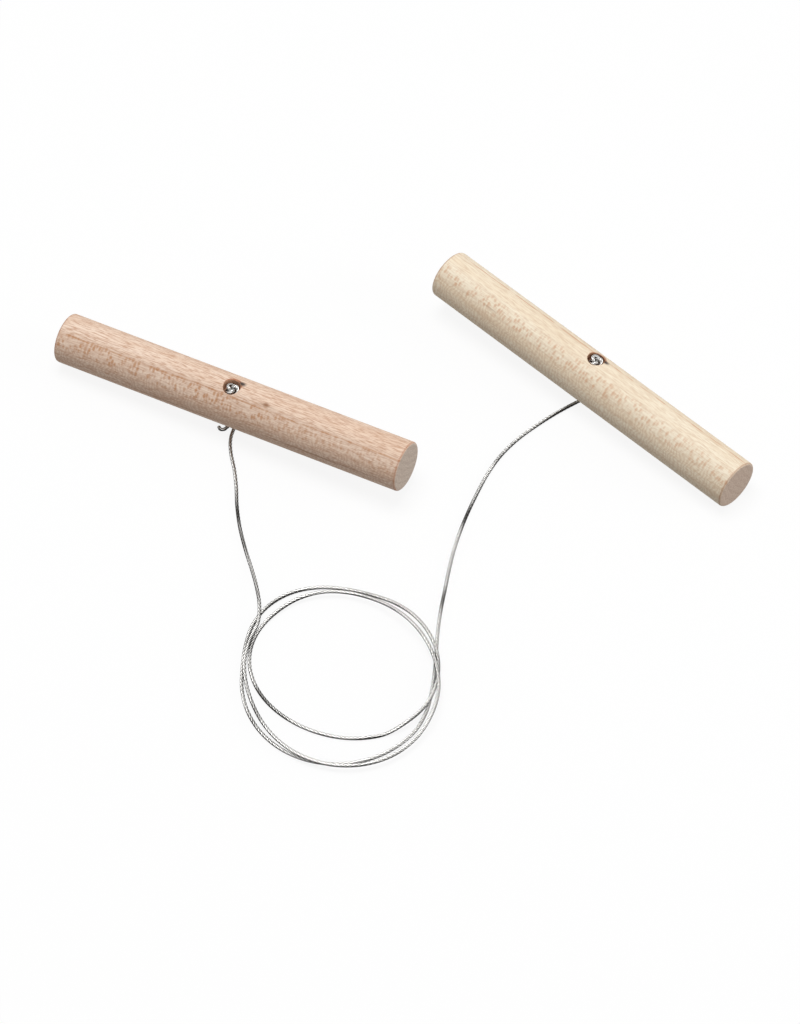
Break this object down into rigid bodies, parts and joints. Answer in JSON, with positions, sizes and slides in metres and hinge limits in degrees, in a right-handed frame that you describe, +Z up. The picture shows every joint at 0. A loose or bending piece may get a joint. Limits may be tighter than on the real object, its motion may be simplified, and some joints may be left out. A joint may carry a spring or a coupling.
{
  "type": "clay cutter",
  "caption": "Wire clay cutter: plain beech dowel handles on the ends of a thin stranded steel wire, laid on a table with the wire in a loose coil.",
  "frame": {"origin": "on the table, under the middle of the box around the two handles", "axes": "+Z up from the table, +X to the right across both handles, -Y towards the coil in front"},
  "size_m": [0.171, 0.1494, 0.0161],
  "materials": {
    "beech_left": "bare sanded beech, pinkish tan",
    "beech_right": "bare sanded beech, pale yellowish tan",
    "steel_wire": "bright stranded steel wire"
  },
  "bodies": {
    "wire": {"wire_coil": "steel_wire", "wire_lead_left": "steel_wire", "wire_lead_right": "steel_wire", "wire_tail_left": "steel_wire", "wire_knot_left": "steel_wire", "wire_knot_right": "steel_wire"},
    "left_handle": {"handle_left": "beech_left"},
    "right_handle": {"handle_right": "beech_right"}
  },
  "joints": [
    {"name": "left_handle_swivel", "type": "hinge", "parent": "wire", "child": "left_handle", "pos_m": [-0.04093, -0.00803, 0.00799], "axis": [-0.0322, 0.0167, 0.9993], "continuous": true},
    {"name": "right_handle_swivel", "type": "hinge", "parent": "wire", "child": "right_handle", "pos_m": [0.04772, 0.0011, 0.00799], "axis": [0.0265, -0.0247, 0.9993], "continuous": true}
  ]
}
